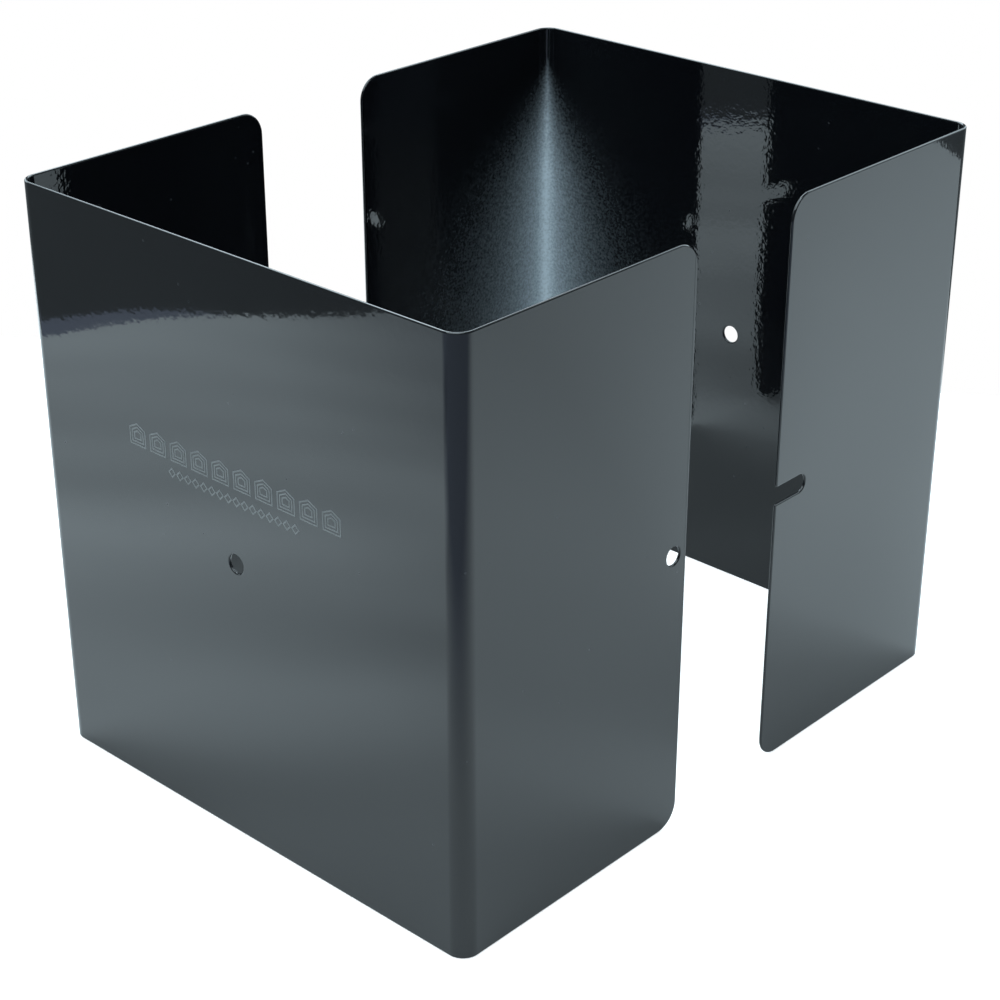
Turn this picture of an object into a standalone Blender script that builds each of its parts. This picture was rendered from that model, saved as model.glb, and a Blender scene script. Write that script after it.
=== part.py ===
"""Two-piece guard for the foot of a square fence post.

Two identical U-shaped halves, folded from thin steel sheet and powder coated, are pushed onto the
post from opposite sides. On each half one flange has a round screw hole near its free edge, and
the other has a slot that is open at its free edge. Turned half a turn about the post, the two
halves lap: each round-hole flange lies outside the other half's slotted flange, and one screw on
each side goes through hole and slot into the post. A third hole is in the middle of each panel.

The origin is on the ground, in the middle between the two halves. +Z is up, the front half's panel
faces -Y and the rear half's panel faces +Y. The halves stand apart, ready to be pushed together.
"""

import math

import bmesh
import bpy
from mathutils import Matrix

# Driving dimensions, in metres.
POST_SIDE = 0.1397  # finished side of the square post, 5 1/2 in
GUARD_HEIGHT = 0.1524  # 6 in
SHEET = 0.0008  # steel sheet with its coat
BEND_RADIUS = 0.0045  # outside of both folds
FREE_CORNER_RADIUS = 0.00635  # corners of each flange's free edge, 1/4 in
SCREW_HOLE = 0.0048  # round holes and the slot's width, 3/16 in
EDGE_MARGIN = 0.0023  # steel between a flange's round hole and its free edge
LAP = 0.0099  # how far the flanges overlap once the guard is closed
SLOT_SPARE = 0.0044  # slot left behind the screw once the guard is closed
APART = 0.0363  # open space between the halves' free edges, as they stand here

# Clearances.
POST_GAP = 0.0001  # between the post and the steel around it, on each side
LAP_GAP = 0.0002  # between two lapped flanges

# Worked out from the values above.
CLOSED_DEPTH = POST_SIDE + 2 * (POST_GAP + SHEET)
FLANGE_DEPTH = (CLOSED_DEPTH + LAP) / 2
HALF_WIDTH = POST_SIDE + 2 * POST_GAP + 3 * SHEET + LAP_GAP
LAP_SHIFT = SHEET + LAP_GAP  # the halves sit this far sideways of each other, so that they lap
REST_DEPTH = 2 * FLANGE_DEPTH + APART
HOLE_INSET = EDGE_MARGIN + SCREW_HOLE / 2
SLOT_DEPTH = LAP - HOLE_INSET + SLOT_SPARE + SCREW_HOLE / 2
MID_HEIGHT = GUARD_HEIGHT / 2

# Facets of the rounded shapes.
BEND_SEGMENTS = 10
CORNER_SEGMENTS = 10
HOLE_SIDES = 40
SLOT_END_SEGMENTS = 12
CUTTER_REACH = 0.004  # how far a cutter stands out of the steel on each side
SMOOTH_BELOW = math.radians(30)  # facets that meet at less than this are shaded as one surface

COAT_COLOUR = (0.012, 0.014, 0.016, 1.0)
COAT_ROUGHNESS = 0.18


def clear_scene():
    for thing in list(bpy.data.objects):
        bpy.data.objects.remove(thing, do_unlink=True)


def new_collection(name):
    collection = bpy.data.collections.new(name)
    bpy.context.scene.collection.children.link(collection)
    return collection


def object_from(bm, name, collection):
    mesh = bpy.data.meshes.new(name)
    bm.to_mesh(mesh)
    bm.free()
    thing = bpy.data.objects.new(name, mesh)
    collection.objects.link(thing)
    return thing


def powder_coat(name):
    """Gloss powder coat over steel: the coat is a paint, so it isn't metallic."""
    material = bpy.data.materials.new(name)
    material.use_nodes = True
    shader = material.node_tree.nodes["Principled BSDF"]
    shader.inputs["Base Color"].default_value = COAT_COLOUR
    shader.inputs["Roughness"].default_value = COAT_ROUGHNESS
    shader.inputs["Metallic"].default_value = 0.0
    material.diffuse_color = COAT_COLOUR
    return material


def folded_skin():
    """The outer face of one half as an open surface: a panel on y = 0 with a flange each side.

    The round-hole flange is at +X and the slotted one at -X. Both run to y = FLANGE_DEPTH.
    """
    side = HALF_WIDTH / 2
    fold_line = [(-side, FLANGE_DEPTH), (-side, 0.0), (side, 0.0), (side, FLANGE_DEPTH)]
    bm = bmesh.new()
    foot = [bm.verts.new((x, y, 0.0)) for x, y in fold_line]
    edges = [bm.edges.new(pair) for pair in zip(foot, foot[1:])]
    raised = bmesh.ops.extrude_edge_only(bm, edges=edges)["geom"]
    top = [v for v in raised if isinstance(v, bmesh.types.BMVert)]
    bmesh.ops.translate(bm, verts=top, vec=(0.0, 0.0, GUARD_HEIGHT))
    bmesh.ops.recalc_face_normals(bm, faces=bm.faces)
    panel = min(bm.faces, key=lambda face: face.calc_center_median().y)
    if panel.normal.y > 0:
        bmesh.ops.reverse_faces(bm, faces=bm.faces)

    folds = [e for e in bm.edges if len(e.link_faces) == 2]
    bmesh.ops.bevel(
        bm, geom=folds, offset=BEND_RADIUS, offset_type="OFFSET",
        segments=BEND_SEGMENTS, profile=0.5, affect="EDGES",
    )
    free = [v for v in bm.verts if v.co.y > FLANGE_DEPTH - SHEET]
    bmesh.ops.bevel(
        bm, geom=free, offset=FREE_CORNER_RADIUS, offset_type="OFFSET",
        segments=CORNER_SEGMENTS, profile=0.5, affect="VERTICES",
    )
    return bm


def hole_cutter(name, centre, turn, collection):
    """A round bar through the steel at the centre given. Unturned, it lies along Y."""
    bm = bmesh.new()
    bmesh.ops.create_cone(
        bm, cap_ends=True, segments=HOLE_SIDES,
        radius1=SCREW_HOLE / 2, radius2=SCREW_HOLE / 2, depth=2 * CUTTER_REACH,
    )
    bmesh.ops.rotate(bm, verts=bm.verts, matrix=Matrix.Rotation(math.pi / 2, 3, "X"))
    cutter = object_from(bm, name, collection)
    cutter.location = centre
    cutter.rotation_euler.z = turn
    return cutter


def slot_cutter(name, collection):
    """A bar with a half-round end, twice as long as the slot, centred on the -X flange's edge."""
    bm = bmesh.new()
    bmesh.ops.create_cube(bm, size=1.0)
    size = (2 * CUTTER_REACH, 2 * SLOT_DEPTH, SCREW_HOLE)
    bmesh.ops.scale(bm, verts=bm.verts, vec=size)
    end_edges = [e for e in bm.edges if abs(e.verts[0].co.x - e.verts[1].co.x) > CUTTER_REACH]
    bmesh.ops.bevel(
        bm, geom=end_edges, offset=SCREW_HOLE / 2, offset_type="OFFSET",
        segments=SLOT_END_SEGMENTS, profile=0.5, affect="EDGES",
    )
    bmesh.ops.remove_doubles(bm, verts=bm.verts, dist=1e-6)
    bmesh.ops.recalc_face_normals(bm, faces=bm.faces)
    cutter = object_from(bm, name, collection)
    cutter.location = (-HALF_WIDTH / 2 + SHEET / 2, FLANGE_DEPTH, MID_HEIGHT)
    return cutter


def guard_half_mesh(scratch):
    """One finished half: the skin thickened inwards to the sheet's gauge, with its three openings."""
    half = object_from(folded_skin(), "half_blank", scratch)
    wall = half.modifiers.new("sheet", "SOLIDIFY")
    wall.thickness = SHEET
    wall.offset = -1.0
    wall.use_even_offset = True

    panel_hole = (0.0, SHEET / 2, MID_HEIGHT)
    flange_hole = (HALF_WIDTH / 2 - SHEET / 2, FLANGE_DEPTH - HOLE_INSET, MID_HEIGHT)
    cutters = [
        hole_cutter("panel_hole_cutter", panel_hole, 0.0, scratch),
        hole_cutter("flange_hole_cutter", flange_hole, math.pi / 2, scratch),
        slot_cutter("slot_cutter", scratch),
    ]
    for cutter in cutters:
        cutter.hide_render = True
        cutter.display_type = "WIRE"
        cut = half.modifiers.new(cutter.name, "BOOLEAN")
        cut.operation = "DIFFERENCE"
        cut.object = cutter

    bpy.context.view_layer.update()
    graph = bpy.context.evaluated_depsgraph_get()
    mesh = bpy.data.meshes.new_from_object(half.evaluated_get(graph))
    mesh.name = "guard_half"
    mesh.shade_smooth()
    mesh.set_sharp_from_angle(angle=SMOOTH_BELOW)
    for blank in [half, *cutters]:
        bpy.data.objects.remove(blank, do_unlink=True)
    return mesh


def place_half(name, mesh, location, turn, collection):
    half = bpy.data.objects.new(name, mesh.copy())
    half.location = location
    half.rotation_euler.z = turn
    half.data.materials.clear()
    half.data.materials.append(powder_coat(name + "_coat"))
    collection.objects.link(half)
    return half


def main():
    clear_scene()
    guard = new_collection("post_guard")
    scratch = new_collection("cutters")
    scratch.hide_render = True
    mesh = guard_half_mesh(scratch)
    front_place = (LAP_SHIFT / 2, -REST_DEPTH / 2, 0.0)
    rear_place = (-LAP_SHIFT / 2, REST_DEPTH / 2, 0.0)
    place_half("front_half", mesh, front_place, 0.0, guard)
    place_half("rear_half", mesh, rear_place, math.pi, guard)


main()
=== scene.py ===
# %% [markdown]
# # A two-piece guard for the foot of a fence post
#
# The real guard is two identical pieces of thin steel, each cut flat, folded twice into a U and
# powder coated gloss black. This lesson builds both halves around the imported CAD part, one step
# per cell: the folded sheet, its holes, its rounded cut edges, the small pressed mark, the coat,
# and then the studio. Everything is in metres, in the frame of the CAD part.

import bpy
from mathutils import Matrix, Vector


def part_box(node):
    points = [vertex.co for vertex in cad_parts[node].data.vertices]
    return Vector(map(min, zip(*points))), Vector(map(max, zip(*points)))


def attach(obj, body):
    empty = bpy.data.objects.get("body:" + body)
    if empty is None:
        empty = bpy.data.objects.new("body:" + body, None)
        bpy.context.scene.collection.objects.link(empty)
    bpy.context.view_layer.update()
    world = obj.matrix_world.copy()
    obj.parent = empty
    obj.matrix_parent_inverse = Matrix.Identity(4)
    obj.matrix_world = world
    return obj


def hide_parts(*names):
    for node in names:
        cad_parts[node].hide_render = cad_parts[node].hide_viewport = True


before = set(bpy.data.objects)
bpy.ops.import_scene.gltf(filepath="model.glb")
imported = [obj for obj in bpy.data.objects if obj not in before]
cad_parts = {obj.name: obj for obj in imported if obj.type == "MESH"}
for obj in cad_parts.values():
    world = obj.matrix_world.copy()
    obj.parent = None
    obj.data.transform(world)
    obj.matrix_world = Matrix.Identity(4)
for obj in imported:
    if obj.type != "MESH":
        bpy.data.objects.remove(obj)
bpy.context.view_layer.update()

# %% [markdown]
# ## Where the sizes come from
#
# The width, depth and height of a half are read from the CAD node's box, so the visible piece
# can't drift away from the part. Only the values that a box can't tell are named here: the gauge
# of the sheet, the folds, the rounded corners and the screw holes.

# %% Sizes of one half
import math

import bmesh
import bpy
from mathutils import Matrix, Vector

FRONT_LOW, FRONT_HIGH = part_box("front_half")
REAR_LOW, REAR_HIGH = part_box("rear_half")
WIDTH = FRONT_HIGH.x - FRONT_LOW.x
DEPTH = FRONT_HIGH.y - FRONT_LOW.y
HEIGHT = FRONT_HIGH.z - FRONT_LOW.z

SHEET = 0.0008
FOLD_RADIUS = 0.0045  # outside of a fold
CORNER_RADIUS = 0.00635  # at the free edge of a flange
SCREW_HOLE = 0.0048
HOLE_INSET = 0.0047  # from a flange's free edge to the middle of its hole
SLOT_DEPTH = 0.0120
print(f"one half: {WIDTH * 1000:.1f} x {DEPTH * 1000:.1f} x {HEIGHT * 1000:.1f} mm")

# %% [markdown]
# ## Small helpers
#
# A bmesh is Blender's editable mesh. The helpers turn one into an object, and bake an object's
# modifiers into a plain mesh, so that a finished piece has nothing left to work out.

# %% Helpers for meshes and objects
scene = bpy.context.scene


def object_from(bm, name):
    mesh = bpy.data.meshes.new(name)
    bm.to_mesh(mesh)
    bm.free()
    thing = bpy.data.objects.new(name, mesh)
    scene.collection.objects.link(thing)
    return thing


def applied_mesh(thing, name):
    """The mesh that the object's modifiers make."""
    bpy.context.view_layer.update()
    graph = bpy.context.evaluated_depsgraph_get()
    mesh = bpy.data.meshes.new_from_object(thing.evaluated_get(graph))
    mesh.name = name
    return mesh


def discard(things):
    for thing in things:
        bpy.data.objects.remove(thing, do_unlink=True)


# %% [markdown]
# ## The folded sheet
#
# A brake press folds the flat blank along two lines. In Blender the same shape comes from a line:
# three edges in a U are extruded upwards into three faces, and each fold is a bevel of the edge
# between two of them. A bevel with many segments and a profile of 0.5 is a true round fold. The
# corners at the free edges are cut round in the blank, so they are a bevel of vertices.

# %% Draw the U, raise it and fold it
FOLD_SEGMENTS = 24
CORNER_SEGMENTS = 14


def folded_skin():
    """Outer face of a half: panel on y = 0, round-hole flange at +X, slotted flange at -X."""
    side = WIDTH / 2
    line = [(-side, DEPTH), (-side, 0.0), (side, 0.0), (side, DEPTH)]
    bm = bmesh.new()
    foot = [bm.verts.new((x, y, 0.0)) for x, y in line]
    edges = [bm.edges.new(pair) for pair in zip(foot, foot[1:])]
    raised = bmesh.ops.extrude_edge_only(bm, edges=edges)["geom"]
    top = [v for v in raised if isinstance(v, bmesh.types.BMVert)]
    bmesh.ops.translate(bm, verts=top, vec=(0.0, 0.0, HEIGHT))
    bmesh.ops.recalc_face_normals(bm, faces=bm.faces)
    panel = min(bm.faces, key=lambda face: face.calc_center_median().y)
    if panel.normal.y > 0:
        bmesh.ops.reverse_faces(bm, faces=bm.faces)

    folds = [e for e in bm.edges if len(e.link_faces) == 2]
    bmesh.ops.bevel(
        bm, geom=folds, offset=FOLD_RADIUS, offset_type="OFFSET",
        segments=FOLD_SEGMENTS, profile=0.5, affect="EDGES", material=-1,
    )
    free = [v for v in bm.verts if v.co.y > DEPTH - SHEET]
    bmesh.ops.bevel(
        bm, geom=free, offset=CORNER_RADIUS, offset_type="OFFSET",
        segments=CORNER_SEGMENTS, profile=0.5, affect="VERTICES", material=-1,
    )
    print(f"skin: {len(bm.faces)} faces, {len(folds)} folds, {len(free)} rounded corners")
    return bm


# %% [markdown]
# ## Tools for the holes
#
# The holes are round and go straight through, and the slot is open at the flange's edge so that
# the halves can be pushed together over a screw. Each cutter is a bar a little longer than the
# sheet is thick. A Boolean modifier takes it away from the sheet.

# %% Cutters for the two holes and the slot
CUTTER_REACH = 0.004
HOLE_SIDES = 64
SLOT_END_SEGMENTS = 20


def hole_cutter(name, centre, turn):
    """A round bar through the sheet. Unturned, it lies along Y."""
    bm = bmesh.new()
    bmesh.ops.create_cone(
        bm, cap_ends=True, segments=HOLE_SIDES,
        radius1=SCREW_HOLE / 2, radius2=SCREW_HOLE / 2, depth=2 * CUTTER_REACH,
    )
    lay_down = Matrix.Rotation(turn, 3, "Z") @ Matrix.Rotation(math.pi / 2, 3, "X")
    bmesh.ops.rotate(bm, verts=bm.verts, matrix=lay_down)
    bmesh.ops.translate(bm, verts=bm.verts, vec=centre)
    return object_from(bm, name)


def slot_cutter(name):
    """A bar with a half-round end, twice as long as the slot, centred on the free edge."""
    bm = bmesh.new()
    bmesh.ops.create_cube(bm, size=1.0)
    size = (2 * CUTTER_REACH, 2 * SLOT_DEPTH, SCREW_HOLE)
    bmesh.ops.scale(bm, verts=bm.verts, vec=size)
    ends = [e for e in bm.edges if abs(e.verts[0].co.x - e.verts[1].co.x) > CUTTER_REACH]
    bmesh.ops.bevel(
        bm, geom=ends, offset=SCREW_HOLE / 2, offset_type="OFFSET",
        segments=SLOT_END_SEGMENTS, profile=0.5, affect="EDGES", material=-1,
    )
    bmesh.ops.remove_doubles(bm, verts=bm.verts, dist=1e-6)
    bmesh.ops.recalc_face_normals(bm, faces=bm.faces)
    centre = (-WIDTH / 2 + SHEET / 2, DEPTH, HEIGHT / 2)
    bmesh.ops.translate(bm, verts=bm.verts, vec=centre)
    return object_from(bm, name)


# %% [markdown]
# ## From skin to sheet
#
# Solidify gives the skin its gauge, inwards, and marks the inner faces with the second material,
# because the coat is thinner in there. Then the cutters work, and a narrow bevel rounds every cut
# edge: on real sheet the coat flows round an edge, and that tiny round is what catches the light
# as a thin bright line. Weighted normals keep the flat faces flat beside those rounds.

# %% Thicken, cut and round the edges
EDGE_ROUND = 0.00038
EDGE_SEGMENTS = 4
SHARP_ANGLE = math.radians(38)
INSIDE_SLOT = 1


def add_boolean(thing, cutter):
    cut = thing.modifiers.new(cutter.name, "BOOLEAN")
    cut.operation = "DIFFERENCE"
    cut.object = cutter


def half_mesh():
    blank = object_from(folded_skin(), "blank")
    for _ in range(2):
        blank.data.materials.append(None)
    wall = blank.modifiers.new("gauge", "SOLIDIFY")
    wall.thickness = SHEET
    wall.offset = -1.0
    wall.use_even_offset = True
    wall.material_offset = INSIDE_SLOT

    panel_hole = Vector((0.0, SHEET / 2, HEIGHT / 2))
    flange_hole = Vector((WIDTH / 2 - SHEET / 2, DEPTH - HOLE_INSET, HEIGHT / 2))
    cutters = [
        hole_cutter("panel_hole", panel_hole, 0.0),
        hole_cutter("flange_hole", flange_hole, math.pi / 2),
        slot_cutter("edge_slot"),
    ]
    for cutter in cutters:
        add_boolean(blank, cutter)

    rounding = blank.modifiers.new("coat over the edges", "BEVEL")
    rounding.width = EDGE_ROUND
    rounding.segments = EDGE_SEGMENTS
    rounding.profile = 0.5
    rounding.limit_method = "ANGLE"
    rounding.angle_limit = SHARP_ANGLE
    rounding.use_clamp_overlap = False
    rounding.miter_outer = "MITER_ARC"

    mesh = applied_mesh(blank, "guard_half")
    discard([blank, *cutters])
    mesh.shade_smooth()
    mesh.set_sharp_from_angle(angle=SHARP_ANGLE)
    return mesh


HALF = half_mesh()
print(f"half: {len(HALF.vertices)} vertices, {len(HALF.polygons)} faces")

# %% [markdown]
# ## A map of the flat blank
#
# Some of the colour follows the sheet, not space: a painted glow lies along one of the two folds.
# So each corner of each face gets a place on the unfolded blank. U is the distance from the
# middle line of the panel, round the fold, to the flange, positive to the round-hole flange, and
# V is the height, both in metres.

# %% Unfold the sheet into a UV map
FLAT_TO_FOLD = WIDTH / 2 - FOLD_RADIUS  # from the middle line to where a fold starts
FOLD_LENGTH = FOLD_RADIUS * math.pi / 2
FOLD_LINE = FLAT_TO_FOLD + FOLD_LENGTH / 2


def unfolded(point):
    across = abs(point.x) - FLAT_TO_FOLD
    along = FOLD_RADIUS - point.y
    if across <= 0:
        distance = abs(point.x)
    elif along <= 0:
        distance = FLAT_TO_FOLD + FOLD_LENGTH - along
    else:
        distance = FLAT_TO_FOLD + FOLD_RADIUS * math.atan2(across, along)
    return math.copysign(distance, point.x), point.z


layout = HALF.uv_layers.new(name="blank_layout")
for loop in HALF.loops:
    layout.data[loop.index].uv = unfolded(HALF.vertices[loop.vertex_index].co)
reach = max(uv.vector.x for uv in layout.uv)
print(f"flat blank: {2 * reach * 1000:.1f} mm wide")

# %% [markdown]
# ## Two halves in their places
#
# Both halves are the same mesh. The rear one is turned half a turn about the vertical. The turn
# and the place go into the vertices, because the finished objects have to stay at the origin.

# %% Place the halves


def placed_half(name, turn, low, high):
    mesh = HALF.copy()
    mesh.name = name
    mesh.transform(Matrix.Rotation(turn, 4, "Z"))
    xs = [v.co.x for v in mesh.vertices]
    ys = [v.co.y for v in mesh.vertices]
    move = Vector(((low.x + high.x - min(xs) - max(xs)) / 2,
                   (low.y + high.y - min(ys) - max(ys)) / 2, low.z))
    mesh.transform(Matrix.Translation(move))
    half = bpy.data.objects.new(name, mesh)
    scene.collection.objects.link(half)
    normals = half.modifiers.new("flat faces stay flat", "WEIGHTED_NORMAL")
    normals.mode = "FACE_AREA"
    normals.weight = 100
    normals.keep_sharp = True
    print(f"{name}: {len(mesh.polygons)} faces, moved by {[round(v, 5) for v in move]}")
    return half


front_guard = placed_half("front_guard", 0.0, FRONT_LOW, FRONT_HIGH)
rear_guard = placed_half("rear_guard", math.pi, REAR_LOW, REAR_HIGH)

# %% [markdown]
# ## The pressed mark
#
# The panel carries a faint outlined mark. Here it is a plain row of pickets over a row of small
# diamonds. One picket is a quad whose top edge is split and raised to a point. Insetting its face
# again and again leaves rings, every other ring is deleted, and thickening turns what is left
# into outlines, one inside the other: thin ridges that stand a hair proud of the panel.

# %% Build the mark as thin ridges
PICKETS = 10
PICKET_PITCH = 0.0073
PICKET_SIZE = (0.0058, 0.0044)
PICKET_POINT = 0.0014
PICKET_LEVEL = 0.0986  # height of the row above the ground
PICKET_RINGS = 3
DIAMONDS = 16
DIAMOND_PITCH = 0.0028
DIAMOND_WIDTH = 0.0027  # from point to point
DIAMOND_LEVEL = 0.0926
RIDGE_WIDTH = 0.00034
RIDGE_GAP = 0.00046  # between one ring and the next
RIDGE_PROUD = 0.00003
RIDGE_ROOT = 0.00005  # how far a ridge is sunk into the panel


def inset(bm, face, width):
    """Shrinks the face and returns the ring of faces around it."""
    return bmesh.ops.inset_region(
        bm, faces=[face], thickness=width, use_boundary=True, use_even_offset=True,
    )["faces"]


def outlined(bm, face, rings):
    """Turns a face into that many outlines, one inside the other, and deletes the rest."""
    spare = []
    for ring in range(rings):
        if ring:
            spare += inset(bm, face, RIDGE_GAP)
        inset(bm, face, RIDGE_WIDTH)
    bmesh.ops.delete(bm, geom=[*spare, face], context="FACES")


def upright_quad(bm, size, centre):
    made = bmesh.ops.create_grid(bm, x_segments=1, y_segments=1, size=0.5)["verts"]
    bmesh.ops.scale(bm, verts=made, vec=(size[0], size[1], 1.0))
    bmesh.ops.rotate(bm, verts=made, matrix=Matrix.Rotation(math.pi / 2, 3, "X"))
    bmesh.ops.translate(bm, verts=made, vec=centre)
    return made


def picket(bm, x):
    middle = PICKET_LEVEL - PICKET_POINT / 2
    corners = upright_quad(bm, PICKET_SIZE, (x, 0.0, middle))
    face = corners[0].link_faces[0]
    top = max(face.edges, key=lambda e: e.verts[0].co.z + e.verts[1].co.z)
    split = bmesh.ops.subdivide_edges(bm, edges=[top], cuts=1)["geom_inner"]
    tip = [v for v in split if isinstance(v, bmesh.types.BMVert)]
    bmesh.ops.translate(bm, verts=tip, vec=(0.0, 0.0, PICKET_POINT))
    outlined(bm, face, PICKET_RINGS)


def diamond(bm, x):
    side = DIAMOND_WIDTH / math.sqrt(2)
    corners = upright_quad(bm, (side, side), (0.0, 0.0, 0.0))
    bmesh.ops.rotate(bm, verts=corners, matrix=Matrix.Rotation(math.pi / 4, 3, "Y"))
    bmesh.ops.translate(bm, verts=corners, vec=(x, 0.0, DIAMOND_LEVEL))
    outlined(bm, corners[0].link_faces[0], 1)


def mark_mesh():
    bm = bmesh.new()
    for i in range(PICKETS):
        picket(bm, (i - (PICKETS - 1) / 2) * PICKET_PITCH)
    for i in range(DIAMONDS):
        diamond(bm, (i - (DIAMONDS - 1) / 2) * DIAMOND_PITCH)
    bm.normal_update()
    bm.faces.ensure_lookup_table()
    if bm.faces[0].normal.y > 0:
        bmesh.ops.reverse_faces(bm, faces=bm.faces)
    bmesh.ops.solidify(bm, geom=bm.faces[:], thickness=RIDGE_PROUD + RIDGE_ROOT)
    bmesh.ops.recalc_face_normals(bm, faces=bm.faces)
    back = max(v.co.y for v in bm.verts)
    bmesh.ops.translate(bm, verts=bm.verts, vec=(0.0, RIDGE_ROOT - back, 0.0))
    return bm


def placed_mark(name, turn, low, high, panel_y):
    mark = object_from(mark_mesh(), name)
    middle = Vector(((low.x + high.x) / 2, panel_y, 0.0))
    mark.data.transform(Matrix.Translation(middle) @ Matrix.Rotation(turn, 4, "Z"))
    print(f"{name}: {len(mark.data.polygons)} faces")
    return mark


front_mark = placed_mark("front_mark", 0.0, FRONT_LOW, FRONT_HIGH, FRONT_LOW.y)
rear_mark = placed_mark("rear_mark", math.pi, REAR_LOW, REAR_HIGH, REAR_HIGH.y)

# %% [markdown]
# ## Node helpers
#
# The coat has several effects, and more than one material uses them, so each effect is a node
# group with named inputs and outputs. Two helpers keep the wiring short.

# %% Helpers for node groups


class Nodes:
    """Adds nodes to a tree, left to right, and links values or sockets to their inputs."""

    def __init__(self, tree):
        self.tree = tree
        self.count = 0

    def add(self, kind, inputs=None, **settings):
        node = self.tree.nodes.new("ShaderNode" + kind)
        node.location = (200 * self.count, 0)
        self.count += 1
        for name, value in settings.items():
            setattr(node, name, value)
        for name, value in (inputs or {}).items():
            if isinstance(value, bpy.types.NodeSocket):
                self.tree.links.new(value, node.inputs[name])
            else:
                node.inputs[name].default_value = value
        return node

    def math(self, operation, *values, clamp=False):
        wired = dict(enumerate(values))
        return self.add("Math", wired, operation=operation, use_clamp=clamp).outputs[0]

    def noise(self, vector, scale, detail=2.0):
        wired = {"Vector": vector, "Scale": scale, "Detail": detail}
        return self.add("TexNoise", wired).outputs["Fac"]

    def blend(self, factor, first, second):
        node = self.add("Mix", data_type="RGBA")
        for socket, value in zip((node.inputs[0], node.inputs[6], node.inputs[7]),
                                 (factor, first, second)):
            if isinstance(value, bpy.types.NodeSocket):
                self.tree.links.new(value, socket)
            else:
                socket.default_value = value
        return node.outputs[2]


def new_group(name, inputs, outputs):
    tree = bpy.data.node_groups.new(name, "ShaderNodeTree")
    for label, kind, value in inputs:
        socket = tree.interface.new_socket(label, in_out="INPUT", socket_type=kind)
        if value is not None:
            socket.default_value = value
    for label, kind in outputs:
        tree.interface.new_socket(label, in_out="OUTPUT", socket_type=kind)
    nodes = Nodes(tree)
    entry = tree.nodes.new("NodeGroupInput")
    leave = tree.nodes.new("NodeGroupOutput")
    return tree, nodes, entry.outputs, leave.inputs


FLOAT, COLOUR, VECTOR = "NodeSocketFloat", "NodeSocketColor", "NodeSocketVector"

# %% [markdown]
# ## Orange peel
#
# Powder melts on the hot steel and levels out, but not fully: up close the gloss is rippled like
# orange peel, and the sheet under it is a little wavy. Neither changes the outline, but both bend
# reflections, so they are a height for a Bump node. The group adds a fine noise and a broad one,
# each with its height in metres.

# %% Group: orange peel
peel_group, g, enter, leave = new_group(
    "orange_peel",
    [("Vector", VECTOR, None), ("Peel Scale", FLOAT, 600.0), ("Peel Height", FLOAT, 6e-6),
     ("Wave Scale", FLOAT, 9.0), ("Wave Height", FLOAT, 2.4e-3)],
    [("Height", FLOAT)],
)
fine = g.noise(enter["Vector"], enter["Peel Scale"], detail=1.5)
broad = g.noise(enter["Vector"], enter["Wave Scale"], detail=0.0)
g.tree.links.new(
    g.math("ADD", g.math("MULTIPLY", fine, enter["Peel Height"]),
           g.math("MULTIPLY", broad, enter["Wave Height"])),
    leave["Height"],
)
print("group:", peel_group.name)

# %% [markdown]
# ## Tone and dust
#
# The black isn't one flat colour. Its pigment clouds a little, its gloss varies with the way the
# powder flowed, and a few specks of dust lie on it. The group gives a colour and a roughness.

# %% Group: coat tone
CLOUD_SCALE = 30.0
FLOW_SCALE = 55.0
DUST_SCALE = 260.0
DUST_RADIUS = 0.075  # of a speck, as a share of its cell
DUST_PATCHES = 45.0
DUST_RARITY = 0.60  # specks lie only where the patches' noise is above this
DUST_COLOUR = (0.5, 0.52, 0.55, 1.0)

tone_group, g, enter, leave = new_group(
    "coat_tone",
    [("Vector", VECTOR, None), ("Deep", COLOUR, (0.002, 0.0023, 0.0032, 1.0)),
     ("Pale", COLOUR, (0.0045, 0.005, 0.006, 1.0)), ("Dust", FLOAT, 0.05),
     ("Gloss", FLOAT, 0.025), ("Gloss Change", FLOAT, 0.02)],
    [("Colour", COLOUR), ("Roughness", FLOAT)],
)
clouds = g.noise(enter["Vector"], CLOUD_SCALE, detail=4.0)
body = g.blend(clouds, enter["Deep"], enter["Pale"])
cells = g.add("TexVoronoi", {"Vector": enter["Vector"], "Scale": DUST_SCALE}).outputs["Distance"]
speck = g.math("LESS_THAN", cells, DUST_RADIUS)
rare = g.math("GREATER_THAN", g.noise(enter["Vector"], DUST_PATCHES), DUST_RARITY)
dusty = g.math("MULTIPLY", g.math("MULTIPLY", speck, rare), enter["Dust"])
g.tree.links.new(g.blend(dusty, body, DUST_COLOUR), leave["Colour"])
flow = g.noise(enter["Vector"], FLOW_SCALE, detail=3.0)
g.tree.links.new(
    g.math("ADD", enter["Gloss"], g.math("MULTIPLY", flow, enter["Gloss Change"])),
    leave["Roughness"],
)
print("group:", tone_group.name)

# %% [markdown]
# ## Thin coat inside one fold
#
# Light glows in the inside of one fold, and here that glow is painted: a pale colour, speckled by
# the coat's grain, over the black. It lies in the fold beside the round-hole flange; the other
# fold gets none. The group reads the map of the flat blank: the mask is strongest on the fold
# line and fades with the distance from it, a little faster on the panel. It reaches furthest
# somewhat below mid height and closes towards both open ends.

# %% Group: painted glow along a fold
PANEL_FADE = 1.33  # how much faster it fades on the panel than on the flange
WIDEST_LEVEL = 0.40  # share of the height at which it reaches furthest
END_CLOSING = 3.3  # how fast it closes from there towards the ends
REACH_POWER = 1.25
END_STRENGTH = 1.5  # keeps it strong until close to where it ends

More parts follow.
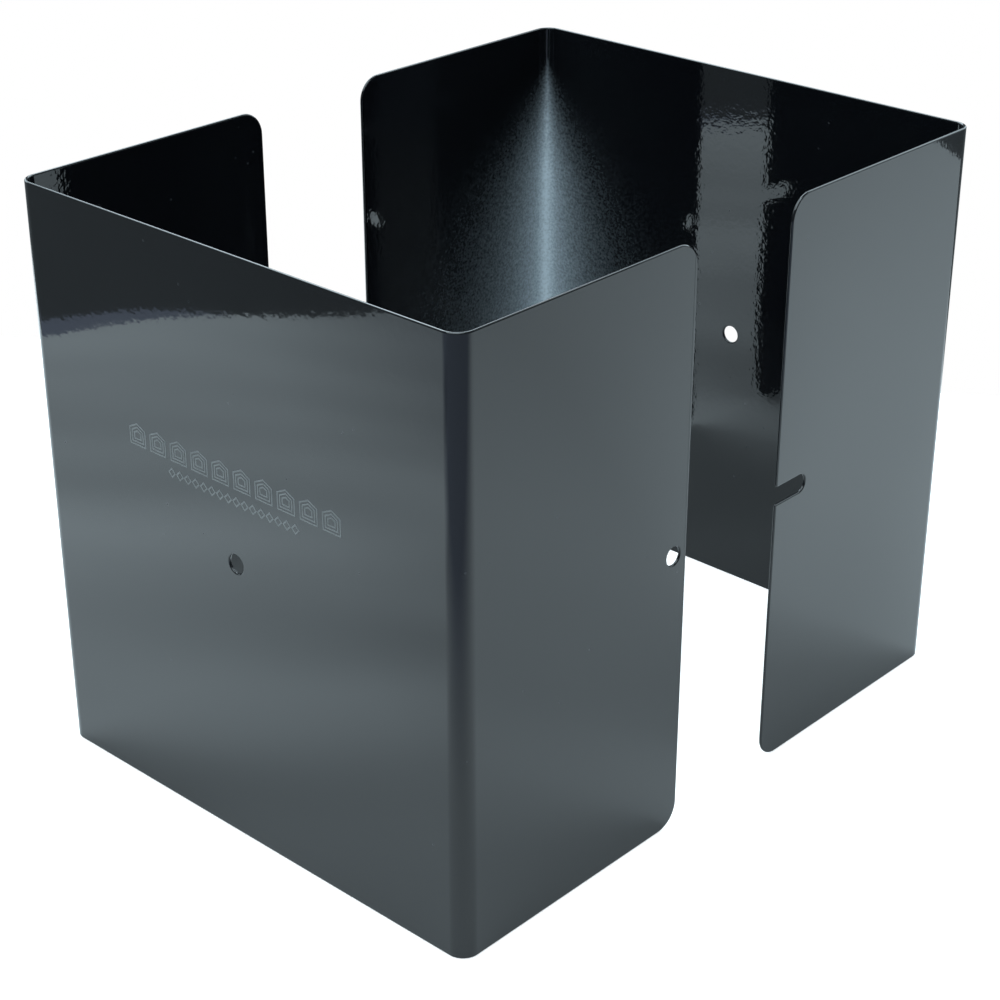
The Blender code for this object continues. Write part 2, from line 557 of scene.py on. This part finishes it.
glow_group, g, enter, leave = new_group(
    "painted_fold_glow",
    [("Blank", VECTOR, None), ("Vector", VECTOR, None), ("Fold Line", FLOAT, 0.07),
     ("Height", FLOAT, 0.15), ("Reach", FLOAT, 0.03), ("Grain Scale", FLOAT, 1400.0)],
    [("Mask", FLOAT), ("Grain", FLOAT)],
)
place = g.add("SeparateXYZ", {"Vector": enter["Blank"]}).outputs
on_flange = g.math("SUBTRACT", place["X"], enter["Fold Line"])
on_panel = g.math("MULTIPLY", on_flange, -PANEL_FADE)
from_fold = g.math("MAXIMUM", on_flange, on_panel)
level = g.math("SUBTRACT", g.math("DIVIDE", place["Y"], enter["Height"]), WIDEST_LEVEL)
level_squared = g.math("MULTIPLY", level, level)
bulge = g.math("SUBTRACT", 1.0, g.math("MULTIPLY", level_squared, END_CLOSING))
closing = g.math("POWER", g.math("MAXIMUM", bulge, 0.01), REACH_POWER)
reach_here = g.math("MULTIPLY", closing, enter["Reach"])
fading = g.math("EXPONENT", g.math("MULTIPLY", g.math("DIVIDE", from_fold, reach_here), -1.0))
strength = g.math("MULTIPLY", bulge, END_STRENGTH, clamp=True)
soft = g.math("MULTIPLY", fading, g.math("SQRT", strength))
grain = g.noise(enter["Vector"], enter["Grain Scale"], detail=2.0)
g.tree.links.new(soft, leave["Mask"])
g.tree.links.new(grain, leave["Grain"])
print("group:", glow_group.name)

# %% [markdown]
# ## The coat
#
# The outside and the inside are one paint and share the groups. The inside is rippled more,
# because less powder gets in there, and it adds a painted glow at the fold: a pale colour for the
# light in the fold, a little less gloss and a visible grain. The mark's ridges are dull and grey.

# %% Materials: gloss coat outside, the same coat inside, and the mark


def new_material(name):
    material = bpy.data.materials.new(name)
    material.use_nodes = True
    tree = material.node_tree
    shader = tree.nodes["Principled BSDF"]
    shader.inputs["IOR"].default_value = 1.5
    nodes = Nodes(tree)
    here = nodes.add("TexCoord").outputs["Object"]
    return material, tree, shader, nodes, here


def group_node(nodes, tree, inputs):
    node = nodes.add("Group", node_tree=tree)
    for name, value in inputs.items():
        if isinstance(value, bpy.types.NodeSocket):
            nodes.tree.links.new(value, node.inputs[name])
        else:
            node.inputs[name].default_value = value
    return node.outputs


def gloss_coat(name):
    material, tree, shader, nodes, here = new_material(name)
    tone = group_node(nodes, tone_group, {"Vector": here})
    peel = group_node(nodes, peel_group, {"Vector": here})
    bump = nodes.add("Bump", {"Height": peel["Height"], "Strength": 1.0, "Distance": 1.0})
    tree.links.new(tone["Colour"], shader.inputs["Base Color"])
    tree.links.new(tone["Roughness"], shader.inputs["Roughness"])
    tree.links.new(bump.outputs["Normal"], shader.inputs["Normal"])
    return material


# The pale colour of the painted glow, laid over the black where light glows in the fold.
GLOW_COLOUR = (0.48, 0.55, 0.60, 1.0)
GLOW_REACH = 0.026  # distance from the fold at which the painted glow has faded to a third
GLOW_ROUGHNESS = 0.03
GRAIN_DEPTH = 0.9
GRAIN_HEIGHT = 4e-6
INSIDE_PEEL = {"Peel Height": 1.3e-5, "Peel Scale": 800.0}


def inside_coat(name):
    material, tree, shader, nodes, here = new_material(name)
    tone = group_node(nodes, tone_group, {"Vector": here})
    blank = nodes.add("UVMap", uv_map="blank_layout").outputs["UV"]
    glow = group_node(nodes, glow_group, {
        "Blank": blank, "Vector": here, "Fold Line": FOLD_LINE, "Height": HEIGHT,
        "Reach": GLOW_REACH,
    })
    grainy = nodes.math("SUBTRACT", glow["Grain"], 0.5)
    speckled = nodes.math("MULTIPLY_ADD", grainy, GRAIN_DEPTH, glow["Mask"])
    painted_glow = nodes.math("MULTIPLY", glow["Mask"], speckled, clamp=True)
    # Painted glow: the mask blends in the pale colour, speckled by the coat's grain.
    colour = nodes.blend(painted_glow, tone["Colour"], GLOW_COLOUR)
    rough = nodes.math("MULTIPLY_ADD", glow["Mask"], GLOW_ROUGHNESS, tone["Roughness"])
    peel = group_node(nodes, peel_group, {"Vector": here, **INSIDE_PEEL})
    grain_here = nodes.math("MULTIPLY", glow["Grain"], glow["Mask"])
    height = nodes.math("MULTIPLY_ADD", grain_here, GRAIN_HEIGHT, peel["Height"])
    bump = nodes.add("Bump", {"Height": height, "Strength": 1.0, "Distance": 1.0})
    tree.links.new(colour, shader.inputs["Base Color"])
    tree.links.new(rough, shader.inputs["Roughness"])
    tree.links.new(bump.outputs["Normal"], shader.inputs["Normal"])
    return material


# The ridges are a plain dull grey, lighter than the coat.
def ridge_coat(name):
    material, tree, shader, nodes, here = new_material(name)
    tone = group_node(nodes, tone_group, {
        "Vector": here, "Deep": (0.10, 0.105, 0.105, 1.0), "Pale": (0.16, 0.165, 0.165, 1.0),
        "Gloss": 0.3, "Gloss Change": 0.2,
    })
    tree.links.new(tone["Colour"], shader.inputs["Base Color"])
    tree.links.new(tone["Roughness"], shader.inputs["Roughness"])
    return material


outside = gloss_coat("gloss_black_coat")
inside = inside_coat("black_coat_inside")
ridges = ridge_coat("dull_grey_ridges")
for half in (front_guard, rear_guard):
    half.data.materials[0] = outside
    half.data.materials[INSIDE_SLOT] = inside
for mark in (front_mark, rear_mark):
    mark.data.materials.append(ridges)
print("materials:", [m.name for m in (outside, inside, ridges)])

# %% [markdown]
# ## Which piece moves with which body
#
# Each visible half stands for its CAD node and rides on that node's body, and its mark rides
# with it.

# %% Ride and replace
for piece, body in ((front_guard, "front_half"), (rear_guard, "rear_half"),
                    (front_mark, "front_half"), (rear_mark, "rear_half")):
    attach(piece, body)
    print(piece.name, "rides on", body)
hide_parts("front_half")
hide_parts("rear_half")

# %% [markdown]
# ## The studio floor
#
# Gloss black has almost no colour of its own: what is seen is the studio in it. The guard stands
# on a wide sheet of pale paper, and beyond the sheet's edge the studio is dim. The sheet fills
# the walls of the guard with grey, and its edge shows in them as a dark corner. Both the sheet
# and the card under it are a little brighter to the camera than to the coat, so that the floor
# stays plain white in a picture.

# %% Helpers for the floor
VIEW_TURN = math.radians(42.70)
VIEW_TILT = math.radians(26.64)


def flat_sheet(name, low, high, turn, drop):
    """A rectangle on the floor, given in a frame turned about the vertical."""
    bm = bmesh.new()
    bmesh.ops.create_grid(bm, x_segments=1, y_segments=1, size=0.5)
    bmesh.ops.scale(bm, verts=bm.verts, vec=(high[0] - low[0], high[1] - low[1], 1.0))
    centre = ((low[0] + high[0]) / 2, (low[1] + high[1]) / 2, -drop)
    bmesh.ops.translate(bm, verts=bm.verts, vec=centre)
    bmesh.ops.rotate(bm, verts=bm.verts, matrix=Matrix.Rotation(VIEW_TURN + turn, 3, "Z"))
    sheet = object_from(bm, name)
    return sheet


def matt_material(name, lift):
    """Matt paper; `lift` is how much brighter the camera sees it than the coat does."""
    material = bpy.data.materials.new(name)
    material.use_nodes = True
    tree = material.node_tree
    shader = tree.nodes["Principled BSDF"]
    shader.inputs["Roughness"].default_value = 1.0
    shader.inputs["Specular IOR Level"].default_value = 0.0
    shader.inputs["Emission Color"].default_value = (1.0, 1.0, 1.0, 1.0)
    wires = Nodes(tree)
    seen = wires.add("LightPath").outputs["Is Camera Ray"]
    tree.links.new(wires.math("MULTIPLY", seen, lift), shader.inputs["Emission Strength"])
    return material, tree, shader, wires


def colour_ramp(wires, value, stops):
    node = wires.add("ValToRGB", {"Fac": value})
    elements = node.color_ramp.elements
    while len(elements) < len(stops):
        elements.new(0.5)
    for element, (position, colour) in zip(elements, stops):
        element.position = position
        element.color = colour
    return node.outputs["Color"]


# %% [markdown]
# ## Pale paper, with painted light and shade
#
# The sheet isn't lit evenly, and its colour paints that light and shade. Towards the camera it is
# painted darker, falling off to a dim lilac: a painted shadow, which draws the soft dark band in
# the near fold. Towards the far side it is painted brightest, so the far flange looks brighter
# than the near one. Its left part has long soft streaks of painted light and shade, which show as
# curved bands in the front panel. A colour ramp over the depth makes the first, a stretched noise
# the second.

# %% Lay the paper
PAPER_TURN = math.radians(-8.7)
PAPER_LOW, PAPER_HIGH = (-0.3964, -0.60), (0.60, 0.2204)
PAPER_DROP = 0.0002  # below the ground, so that the guard's foot never lies in it
PAPER_LIFT = 0.6
FADE_NEAR, FADE_FAR = -0.30, 0.20  # depths at the ramp's two ends
STREAK_TURN = math.radians(-33.5)
STREAK_SIZE = (0.30, 0.070, 1.0)
STREAK_GAIN = 1.1
STREAKS_START, STREAKS_FULL = 0.05, -0.03  # across the guard, from right to left

paper = flat_sheet("paper_sheet", PAPER_LOW, PAPER_HIGH, PAPER_TURN, PAPER_DROP)
material, tree, shader, wires = matt_material("pale_paper", PAPER_LIFT)
here = wires.add("TexCoord").outputs["Object"]
away = (-math.sin(VIEW_TURN + PAPER_TURN), math.cos(VIEW_TURN + PAPER_TURN), 0.0)
depth = wires.add("VectorMath", {0: here, 1: away}, operation="DOT_PRODUCT").outputs["Value"]
share = wires.add("MapRange", {"Value": depth, "From Min": FADE_NEAR, "From Max": FADE_FAR})
# The ramp paints light and shade into the paper: a painted shadow falling to dim lilac towards
# the camera, and a painted pool of light at the far side.
tone = colour_ramp(wires, share.outputs["Result"], (
    (0.00, (0.30, 0.31, 0.37, 1.0)), (0.26, (0.80, 0.80, 0.80, 1.0)),
    (0.36, (0.88, 0.88, 0.88, 1.0)), (0.48, (0.82, 0.82, 0.82, 1.0)),
    (0.56, (0.76, 0.76, 0.76, 1.0)), (0.63, (0.85, 0.85, 0.85, 1.0)),
    (0.84, (0.97, 0.97, 0.97, 1.0)),
))
along = wires.add("Mapping", {"Vector": here, "Rotation": (0.0, 0.0, STREAK_TURN),
                              "Scale": STREAK_SIZE}, vector_type="TEXTURE").outputs["Vector"]
across = wires.add("SeparateXYZ", {"Vector": here}).outputs["X"]
left = wires.add("MapRange", {"Value": across, "From Min": STREAKS_START,
                              "From Max": STREAKS_FULL})
# The stretched noise paints soft streaks of light and shade on the left part of the paper.
uneven = wires.math("SUBTRACT", wires.noise(along, 1.0, detail=1.0), 0.5)
uneven = wires.math("MULTIPLY", uneven, left.outputs["Result"])
painted_streaks = wires.math("MULTIPLY_ADD", uneven, STREAK_GAIN, 1.0)
painted_light_and_shade = wires.add("VectorMath", {0: tone, "Scale": painted_streaks}, operation="SCALE")
tree.links.new(painted_light_and_shade.outputs["Vector"], shader.inputs["Base Color"])
paper.data.materials.append(material)
print("paper:", [round(d, 3) for d in paper.dimensions])

# %% [markdown]
# ## A dim card under it
#
# A mottled lilac card lies under the sheet, turned a little the other way, and sticks out on the
# left. It is painted shade: a dim sheet where the floor lies in shade, and in the front panel it
# is the dim border between the grey and the dark corner.

# %% Lay the card
CARD_TURN = math.radians(6.3)
CARD_LOW, CARD_HIGH = (-0.4133, -1.0), (-0.20, 0.1)
CARD_DROP = 0.0008
CARD_LIFT = 1.0
MOTTLE_SCALE = 40.0

shade_card = flat_sheet("shade_card", CARD_LOW, CARD_HIGH, CARD_TURN, CARD_DROP)
material, tree, shader, wires = matt_material("painted_shade_card", CARD_LIFT)
here = wires.add("TexCoord").outputs["Object"]
# The card's dim mottled colour is painted shade.
mottle = wires.noise(here, MOTTLE_SCALE)
tree.links.new(wires.blend(mottle, (0.30, 0.31, 0.39, 1.0), (0.38, 0.39, 0.47, 1.0)),
               shader.inputs["Base Color"])
shade_card.data.materials.append(material)
print("card:", [round(d, 3) for d in shade_card.dimensions])

# %% [markdown]
# ## The room
#
# The room itself is dim and slightly cool, a little brighter below the horizon than above it. It
# shows wherever a wall of the guard reflects neither the sheet nor the card. The camera
# sees a white backdrop instead, in every direction.

# %% Light the room
ROOM_ABOVE = 0.22
ROOM_BELOW = 0.26
COOL = (0.835, 1.0, 1.08)

world = bpy.data.worlds.new("studio")
scene.world = world
world.use_nodes = True
room = Nodes(world.node_tree)
background = world.node_tree.nodes["Background"]
direction = room.add("TexCoord").outputs["Generated"]
upward = room.add("SeparateXYZ", {"Vector": direction}).outputs["Z"]
ramp = room.add("MapRange", {"Value": upward, "From Min": -0.16, "From Max": 0.05,
                             "To Min": ROOM_BELOW, "To Max": ROOM_ABOVE}).outputs["Result"]
tinted = room.add("VectorMath", {0: (*COOL,)}, operation="SCALE")
world.node_tree.links.new(ramp, tinted.inputs["Scale"])
seen = room.add("LightPath").outputs["Is Camera Ray"]
shown = room.blend(seen, tinted.outputs["Vector"], (1.0, 1.0, 1.0, 1.0))
world.node_tree.links.new(shown, background.inputs["Color"])
background.inputs["Strength"].default_value = 1.0
print("room: above", ROOM_ABOVE, "below", ROOM_BELOW)

# %% [markdown]
# ## Soft boxes
#
# Four large soft boxes hang round the guard, and one small one stands low beside the far flange.
# They aim at the sheet on the floor rather than at the guard: the coat is so dark and so glossy
# that nearly all one sees of it is the sheet's reflection, so the light on the sheet sets how
# bright each wall looks. The camera doesn't see the boxes.

# %% Hang the soft boxes


def soft_box(name, place, aim, size, power):
    light = bpy.data.lights.new(name, "AREA")
    light.shape = "RECTANGLE"
    light.size, light.size_y = size
    light.energy = power
    light.color = COOL
    box = bpy.data.objects.new(name, light)
    box.location = place
    box.rotation_euler = (Vector(aim) - Vector(place)).to_track_quat("-Z", "Y").to_euler()
    box.visible_camera = False
    scene.collection.objects.link(box)
    print(f"{name}: {power} W")


soft_box("front_box", (0.15, -0.39, 0.90), (0.06, -0.10, 0.0), (0.9, 0.9), 11.0)
soft_box("left_box", (-0.85, 0.0, 0.60), (-0.21, 0.0, 0.0), (0.9, 0.9), 7.8)
soft_box("far_left_box", (-0.50, 0.40, 0.80), (-0.12, 0.12, 0.0), (0.6, 0.6), 7.5)
soft_box("back_box", (0.05, 0.90, 0.60), (0.05, 0.21, 0.0), (0.8, 0.8), 6.0)
soft_box("right_box", (0.15, 0.13, 0.17), (0.10, 0.085, 0.0), (0.12, 0.12), 0.05)

# %% [markdown]
# ## Camera
#
# A portrait lens looks down at the fold between the front panel and the round-hole flange, from
# the direction that the floor's helpers already name.

# %% Place the camera
AIM = Vector((0.0029, -0.0073, 0.0616))
DISTANCE = 0.5695
FOCAL_LENGTH = 79.76  # in millimetres, as the sensor's width is
backwards = Vector((math.sin(VIEW_TURN) * math.cos(VIEW_TILT),
                    -math.cos(VIEW_TURN) * math.cos(VIEW_TILT), math.sin(VIEW_TILT)))
lens = bpy.data.cameras.new("camera")
lens.sensor_width = 36.0
lens.lens = FOCAL_LENGTH
camera = bpy.data.objects.new("camera", lens)
camera.location = AIM + backwards * DISTANCE
camera.rotation_euler = backwards.to_track_quat("Z", "Y").to_euler()
scene.collection.objects.link(camera)
scene.camera = camera
scene.view_settings.view_transform = "Standard"
print("camera at", [round(v, 4) for v in camera.location])
